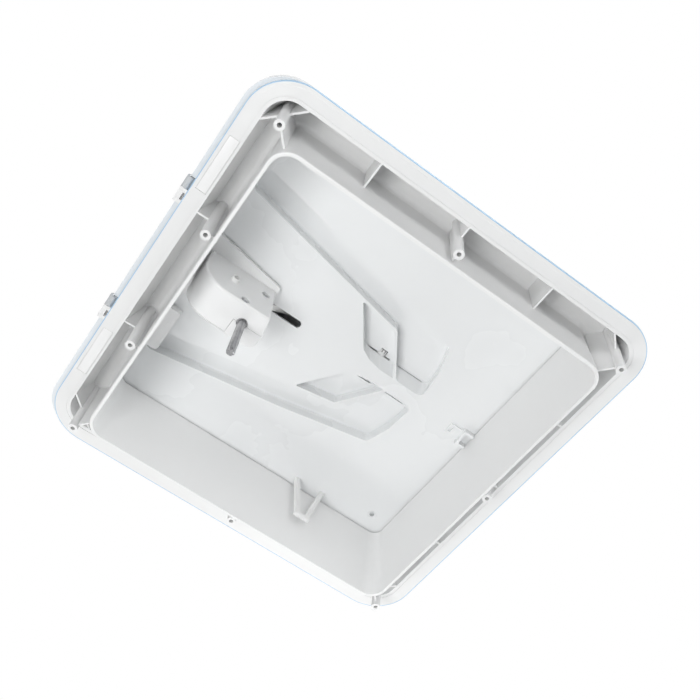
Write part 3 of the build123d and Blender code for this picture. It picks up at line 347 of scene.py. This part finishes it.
def end(piece, name, material):
    """Leaves edit mode, names the piece, smooths it and gives it its material."""
    bpy.ops.mesh.select_all(action="SELECT")
    bpy.ops.mesh.normals_make_consistent(inside=False)
    bpy.ops.object.mode_set(mode="OBJECT")
    piece.name = name
    bpy.ops.object.select_all(action="DESELECT")
    piece.select_set(True)
    bpy.context.view_layer.objects.active = piece
    bpy.ops.object.shade_smooth_by_angle(angle=math.radians(smooth_angle))
    piece.data.materials.clear()
    piece.data.materials.append(material)
    return piece


seal_rubber = plastic("seal_rubber", rubber_colour, rubber_dust, 0.72, grain_scale=1800.0, relief=0.3,
                      dust_and_shade=0.8, polish_and_highlight=0.1)[0]
seal_place = (0, seal_centre_y, seal_low)
seal = begin("plane", size=1.0, location=seal_place)
bpy.ops.mesh.select_all(action="SELECT")
bpy.ops.transform.resize(value=(2 * seal_half_x, 2 * seal_half_y, 1), center_override=seal_place)
bpy.ops.mesh.bevel(offset=seal_corner, offset_type="OFFSET", segments=10, affect="VERTICES")
bpy.ops.mesh.select_all(action="SELECT")
bpy.ops.mesh.inset(thickness=seal_width, use_even_offset=True)
bpy.ops.mesh.delete(type="FACE")
bpy.ops.mesh.select_all(action="SELECT")
bpy.ops.mesh.extrude_region_move(TRANSFORM_OT_translate={"value": (0, 0, seal_high - seal_low)})
bpy.ops.mesh.select_all(action="SELECT")
bpy.ops.mesh.normals_make_consistent(inside=False)
bpy.ops.object.mode_set(mode="OBJECT")
rounding = seal.modifiers.new("rounding", "BEVEL")
rounding.width = seal_round
rounding.segments = 3
rounding.limit_method = "ANGLE"
rounding.angle_limit = math.radians(seal_round_angle)
bpy.ops.object.modifier_apply(modifier="rounding")
bpy.ops.object.mode_set(mode="EDIT")
end(seal, "rubber_lid_seal", seal_rubber)
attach(seal, "frame")
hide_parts("lid_seal")


# Hinge blocks: white ABS feet screwed on the flange from below, each with a lug that hooks past the
# flange's edge and carries one steel pin. A flush cover plate, clipped in the flange, hides the screws.
cover_length, cover_width, cover_thickness = 0.060, 0.0105, 0.0018
cover_x, cover_y = 0.1206, 0.2162
cover_round = 0.00035
cover_colour = (0.925, 0.925, 0.923)
blot_scale, blot_low, blot_high = 180.0, 0.4, 0.7
streak_low, streak_high, streak_share = 0.35, 0.65, 0.7
rub_gain, brightest = 1.3, 0.95
mark_roughness = 0.18
streak_relief, streak_depth = 0.25, 0.00005
rub_patchiness = 200.0


def noise(tree, vector, scale, detail, rough=0.5):
    """A Noise Texture on a vector."""
    node = tree.nodes.new("ShaderNodeTexNoise")
    node.inputs["Scale"].default_value = scale
    node.inputs["Detail"].default_value = detail
    node.inputs["Roughness"].default_value = rough
    tree.links.new(vector, node.inputs["Vector"])
    return node.outputs["Fac"]


def metal(name, colour, dark, roughness, along, stretch=40.0, streak_scale=900.0, tarnish=0.3):
    """Bright metal with drawing or turning marks along an axis, and dull patches."""
    material = bpy.data.materials.new(name)
    material.use_nodes = True
    tree = material.node_tree
    shader = tree.nodes["Principled BSDF"]
    spot = tree.nodes.new("ShaderNodeTexCoord")
    squeeze = tree.nodes.new("ShaderNodeMapping")
    squeeze.inputs["Scale"].default_value = tuple(1.0 / stretch if axis == along else 1.0 for axis in "XYZ")
    tree.links.new(spot.outputs["Object"], squeeze.inputs["Vector"])
    streaks = noise(tree, squeeze.outputs["Vector"], streak_scale, 3.0, 0.6)
    blots = noise(tree, spot.outputs["Object"], blot_scale, 3.0)
    edges = tree.nodes.new("ShaderNodeGroup")
    edges.node_tree = edges_group
    edges.inputs["Patchiness"].default_value = rub_patchiness
    dull = reckon(tree, "MULTIPLY", ramp(tree, blots, blot_low, blot_high), tarnish)
    marks = reckon(tree, "MULTIPLY_ADD", ramp(tree, streaks, streak_low, streak_high), streak_share, dull)
    marked = blend(tree, marks, colour, dark)
    bright = tuple(min(c * rub_gain, brightest) for c in colour)
    wear_and_highlight = blend(tree, edges.outputs["Edge"], marked, bright)
    tree.links.new(wear_and_highlight, shader.inputs["Base Color"])
    rough = reckon(tree, "MULTIPLY_ADD", marks, mark_roughness, roughness)
    tree.links.new(rough, shader.inputs["Roughness"])
    bump = tree.nodes.new("ShaderNodeBump")
    bump.inputs["Strength"].default_value = streak_relief
    bump.inputs["Distance"].default_value = streak_depth
    tree.links.new(streaks, bump.inputs["Height"])
    tree.links.new(bump.outputs["Normal"], shader.inputs["Normal"])
    shader.inputs["Metallic"].default_value = 1.0
    return material


block_white = plastic("block_white", frame_colour, frame_shade, 0.32)[0]
cover_white = plastic("cover_white", cover_colour, frame_colour, 0.27)[0]
pin_steel = metal("pin_steel", (0.58, 0.58, 0.59), (0.40, 0.40, 0.41), 0.24, "X")
screw_zinc = metal("screw_zinc", (0.74, 0.75, 0.76), (0.50, 0.51, 0.52), 0.30, "Z", stretch=4.0,
                   streak_scale=700.0, tarnish=0.5)
dress(block_white, "hinge_block_left", "hinge_block_right")
dress(pin_steel, "hinge_pin_left", "hinge_pin_right")
dress(screw_zinc, "hinge_block_screws")
for side, name in ((-1, "left"), (1, "right")):
    plate_place = (side * cover_x, cover_y, cover_thickness / 2)
    plate = begin("cube", size=1.0, location=plate_place)
    bpy.ops.mesh.select_all(action="SELECT")
    bpy.ops.transform.resize(value=(cover_length, cover_width, cover_thickness), center_override=plate_place)
    bpy.ops.mesh.bevel(offset=cover_round, segments=3, affect="EDGES")
    end(plate, "cover_plate_" + name, cover_white)
    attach(plate, "frame")
    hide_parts("hinge_cover_" + name)


# Gear housing: two white ABS half shells with a stepped seam, hung under the frame's shelf by four screws
# from above. Two cross-head screws from the side pull the halves together.
housing_colour, housing_shade = (0.862, 0.864, 0.864), (0.79, 0.795, 0.80)
side_head_radius, side_head_height, side_shank_radius = 0.0043, 0.0022, 0.0018
side_head_x, side_shank_end_x = -0.0185, 0.0148
side_screw_places = ((0.124, 0.0041), (0.1066, 0.0377))
side_screw_turn, side_screw_turn_step = 25, 30
square_on = 0.9
dome_share, rim_share = 0.42, 0.01
recess_length_share, recess_width_share, recess_depth_share = 1.25, 0.27, 0.9
recess_middle_share = 0.1
recess_taper = (0.35, 0.6, 1)


def pick(piece, kind, test):
    """Selects the edges or faces of a piece in edit mode that pass a test on their middle, and on the way
    that a face points."""
    bpy.ops.mesh.select_mode(type={"edges": "EDGE", "polygons": "FACE"}[kind])
    bpy.ops.mesh.select_all(action="DESELECT")
    bpy.ops.object.mode_set(mode="OBJECT")
    points = piece.data.vertices
    for part in getattr(piece.data, kind):
        if kind == "edges":
            part.select = test((points[part.vertices[0]].co + points[part.vertices[1]].co) / 2)
        else:
            part.select = test(part.center, part.normal)
    bpy.ops.object.mode_set(mode="EDIT")


def cut(piece, cutter):
    """Takes the cutter's solid out of the piece and deletes the cutter."""
    bpy.ops.object.select_all(action="DESELECT")
    bpy.context.view_layer.objects.active = piece
    piece.select_set(True)
    knife = piece.modifiers.new("cut", "BOOLEAN")
    knife.operation = "DIFFERENCE"
    knife.solver = "EXACT"
    knife.object = cutter
    bpy.ops.object.modifier_apply(modifier="cut")
    bpy.data.objects.remove(cutter)


def join(pieces):
    """Makes one object of like pieces and leaves it in edit mode."""
    bpy.ops.object.select_all(action="DESELECT")
    for piece in pieces:
        piece.select_set(True)
    bpy.context.view_layer.objects.active = pieces[0]
    bpy.ops.object.join()
    bpy.ops.object.mode_set(mode="EDIT")
    return pieces[0]


def cross_head_screw(head_radius, head_height, shank_radius, shank_length, place, turn):
    """Screw with a domed head, a tapered cross recess and a plain shank, made at the origin with the head
    up on +Z and then turned and put in its place."""
    screw = begin("cylinder", vertices=40, radius=head_radius, depth=head_height,
                  location=(0, 0, -head_height / 2))
    pick(screw, "edges", lambda spot: spot.z > -head_height * rim_share)
    bpy.ops.mesh.bevel(offset=head_height * dome_share, segments=4, affect="EDGES")
    pick(screw, "polygons", lambda spot, facing: facing.z < -square_on)
    bpy.ops.mesh.inset(thickness=head_radius - shank_radius)
    bpy.ops.mesh.extrude_region_move(TRANSFORM_OT_translate={"value": (0, 0, -shank_length)})
    bpy.ops.object.mode_set(mode="OBJECT")
    recess_size = (head_radius * recess_length_share, head_radius * recess_width_share,
                   head_height * recess_depth_share)
    recess_place = (0, 0, -head_height * recess_middle_share)
    for quarter in (0, math.pi / 2):
        arm = begin("cube", size=1.0, location=recess_place)
        bpy.ops.mesh.select_all(action="SELECT")
        bpy.ops.transform.resize(value=recess_size, center_override=recess_place)
        pick(arm, "polygons", lambda spot, facing: facing.z < -square_on)
        bpy.ops.transform.resize(value=recess_taper, center_override=(0, 0, 0))
        bpy.ops.mesh.select_all(action="SELECT")
        bpy.ops.transform.rotate(value=quarter, orient_axis="Z", center_override=(0, 0, 0))
        bpy.ops.object.mode_set(mode="OBJECT")
        cut(screw, arm)
    screw.data.transform(Matrix.Translation(place) @ turn)
    return screw


housing_white = plastic("housing_white", housing_colour, housing_shade, 0.26, cloud_scale=24.0)[0]
dress(housing_white, "housing_left", "housing_right")
dress(screw_zinc, "shelf_screws")
facing_minus_x = Matrix.Rotation(math.radians(-90), 4, "Y")
side_screws = []
for number, (y, z) in enumerate(side_screw_places):
    twist = math.radians(side_screw_turn + side_screw_turn_step * number)
    spun = facing_minus_x @ Matrix.Rotation(twist, 4, "Z")
    side_screws.append(cross_head_screw(side_head_radius, side_head_height, side_shank_radius,
                                        side_shank_end_x - side_head_x - side_head_height,
                                        (side_head_x, y, z), spun))
side_screws = end(join(side_screws), "housing_side_screws", screw_zinc)
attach(side_screws, "frame")
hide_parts("housing_screws")


# Drive spindle: a turned steel shaft in two bushes, with the worm pressed on it inside the housing. Its
# thick end hangs out of the housing, and six notches in the tip take the ribs of a crank handle's socket.
spindle_steel = metal("spindle_steel", (0.52, 0.52, 0.53), (0.26, 0.26, 0.27), 0.26, "Z", stretch=60.0,
                      streak_scale=1500.0, tarnish=0.35)
bush_steel = metal("bush_steel", (0.56, 0.56, 0.57), (0.38, 0.38, 0.39), 0.42, "Z", stretch=2.0,
                   streak_scale=2200.0, tarnish=0.4)
acetal = plastic("natural_acetal", (0.80, 0.79, 0.75), (0.70, 0.69, 0.65), 0.38, cloud_scale=40.0)[0]
dress(spindle_steel, "spindle_shaft", "worm")
dress(pin_steel, "spindle_clip")
dress(bush_steel, "spindle_bush_lower")
dress(acetal, "spindle_bush_upper")


# Worm wheel and lift arm: an acetal wheel and a white glass-filled nylon arm, pinned together on one axle.
# The arm passes up through the pane's slot, and a steel cross pin in its end slides in the lid's rail.
nylon = plastic("white_nylon", (0.80, 0.80, 0.785), (0.69, 0.69, 0.68), 0.48, cloud_scale=30.0,
                grain_scale=1500.0, relief=0.35)[0]
axle_white = plastic("axle_white", (0.86, 0.86, 0.85), (0.74, 0.74, 0.73), 0.30, cloud_scale=60.0)[0]
dress(acetal, "worm_wheel")
dress(axle_white, "wheel_axle")
dress(nylon, "lift_arm")
dress(pin_steel, "arm_drive_pin", "cross_pin", "cross_pin_clip")


# Lid: a thin moulded dome of gloss white ABS, a little translucent and so slightly blue. It hangs on the
# hinge arms, and its skirt laps over the frame's curb.
lid_white = plastic("lid_white", (0.845, 0.868, 0.885), (0.76, 0.79, 0.82), 0.16, cloud_scale=6.0,
                    relief=0.05, coat=0.15)[0]
dress(lid_white, "lid_outer")


# Inner pane: a vacuum-formed white ABS skin with two channels and two pits that stiffen it, held in the
# dome by two screws in dished seats.
pane_colour, pane_shade = (0.868, 0.878, 0.882), (0.79, 0.81, 0.82)
pane_screw_x, pane_screw_y, pane_screw_z = 0.1559, -0.1522, 0.0624
pane_head_radius, pane_head_height = 0.0028, 0.0008
pane_shank_radius, pane_shank_length = 0.0015, 0.0094
pane_screw_turn = 20
pane_white = plastic("pane_white", pane_colour, pane_shade, 0.20, cloud_scale=7.0, relief=0.06)[0]
dress(pane_white, "lid_inner_pane")
facing_down = Matrix.Rotation(math.radians(180), 4, "X")
pane_screws = []
for side in (-1, 1):
    spun = facing_down @ Matrix.Rotation(math.radians(pane_screw_turn * side), 4, "Z")
    pane_screws.append(cross_head_screw(pane_head_radius, pane_head_height, pane_shank_radius,
                                        pane_shank_length,
                                        (side * pane_screw_x, pane_screw_y, pane_screw_z), spun))
pane_screws = end(join(pane_screws), "pane_cross_screws", screw_zinc)
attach(pane_screws, "lid")
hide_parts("pane_screws")


# Lid hinge arms: light grey nylon mouldings. A strap lies along the inside of the lid's skirt, and its
# knuckle turns on the hinge pin beside the block's lug.
grey_nylon = plastic("grey_nylon", (0.58, 0.60, 0.62), (0.46, 0.48, 0.50), 0.42, cloud_scale=40.0)[0]
dress(grey_nylon, "lid_hinge_arm_left", "lid_hinge_arm_right")


# Slotted rail for the cross pin: a white ABS channel bolted on the pane's bosses. A pale nylon plug closes
# the hole in its wall that the pin goes in by. It has a rounded rim, and two slots in its face take a key.
plug_reach, plug_round = 0.0034, 0.0021
key_slot_depth, key_slot_width = 0.0066, 0.0012
plug_colour, plug_shade = (0.80, 0.80, 0.80), (0.66, 0.66, 0.66)
dress(housing_white, "guide_rail")
dress(screw_zinc, "guide_rail_screws")
plug_grey = plastic("plug_grey", plug_colour, plug_shade, 0.35, cloud_scale=60.0)[0]
plug_low, plug_high = (Vector(corner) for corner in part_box("rail_plug"))
plug_face_x = plug_low.x - plug_reach
plug_radius = (plug_high.y - plug_low.y) / 2
plug_place = Vector(((plug_face_x + plug_high.x) / 2, (plug_low.y + plug_high.y) / 2,
                     (plug_low.z + plug_high.z) / 2))
plug = begin("cylinder", vertices=48, radius=plug_radius, depth=plug_high.x - plug_face_x,
             location=plug_place, rotation=(0, math.pi / 2, 0))
pick(plug, "edges", lambda spot: spot.x < plug_face_x + plug_round / 10)
bpy.ops.mesh.bevel(offset=plug_round, segments=6, affect="EDGES")
bpy.ops.object.mode_set(mode="OBJECT")
for side in (-1, 1):
    slot_place = (plug_face_x, plug_place.y + side * plug_radius / 3, plug_place.z - plug_radius / 2)
    key_slot = begin("cube", size=1.0, location=slot_place)
    bpy.ops.mesh.select_all(action="SELECT")
    bpy.ops.transform.resize(value=(key_slot_depth, key_slot_width, plug_radius),
                             center_override=slot_place)
    bpy.ops.object.mode_set(mode="OBJECT")
    cut(plug, key_slot)
bpy.ops.object.mode_set(mode="EDIT")
end(plug, "round_rail_plug", plug_grey)
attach(plug, "lid")
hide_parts("rail_plug")


# Lid catch: a small moulding of white ABS under the pane's front edge, made with two ears, a bar between
# them and a slot behind.
dress(pane_white, "lid_catch")


# Pull loop: a flat V-shaped strap of white nylon, moulded in one piece. Both its ends hang from the edge of
# the pane, and the hand draws the lid down by it.
loop_low_x, loop_high_x = 0.1655, 0.1705
loop_bar_low_z, loop_bar_high_z, loop_top_z = 0.00325, 0.00975, 0.062
loop_bar_y = (-0.07825, -0.07175, -0.06525, -0.05875)
loop_lean_front, loop_lean_back = -0.013, 0.008
loop_round, loop_sharp_end = 0.0011, 0.0002
loop_colour, loop_shade = (0.855, 0.855, 0.85), (0.76, 0.76, 0.755)
flat_angle = 1
loop_white = plastic("loop_white", loop_colour, loop_shade, 0.36, cloud_scale=40.0)[0]
loop_place = ((loop_low_x + loop_high_x) / 2, (loop_bar_y[0] + loop_bar_y[3]) / 2,
              (loop_bar_low_z + loop_bar_high_z) / 2)
loop = begin("cube", size=1.0, location=loop_place)
bpy.ops.mesh.select_all(action="SELECT")
bpy.ops.transform.resize(value=(loop_high_x - loop_low_x, loop_bar_y[3] - loop_bar_y[0],
                                loop_bar_high_z - loop_bar_low_z), center_override=loop_place)
for y in loop_bar_y[1:3]:
    bpy.ops.mesh.select_all(action="SELECT")
    bpy.ops.mesh.bisect(plane_co=(0, y, 0), plane_no=(0, 1, 0))
loop_legs = ((loop_bar_y[0], loop_bar_y[1], loop_lean_front), (loop_bar_y[2], loop_bar_y[3], loop_lean_back))
for low_y, high_y, lean in loop_legs:
    pick(loop, "polygons", lambda spot, facing: facing.z > square_on and low_y < spot.y < high_y)
    rise = loop_top_z - loop_bar_high_z
    bpy.ops.mesh.extrude_region_move(TRANSFORM_OT_translate={"value": (0, lean, rise)})
bpy.ops.mesh.select_all(action="SELECT")
bpy.ops.mesh.dissolve_limited(angle_limit=math.radians(flat_angle))
pick(loop, "edges", lambda spot: spot.z < loop_top_z - loop_sharp_end)
bpy.ops.mesh.bevel(offset=loop_round, segments=3, affect="EDGES")
end(loop, "strap_pull_loop", loop_white)
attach(loop, "lid")
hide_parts("pull_loop")
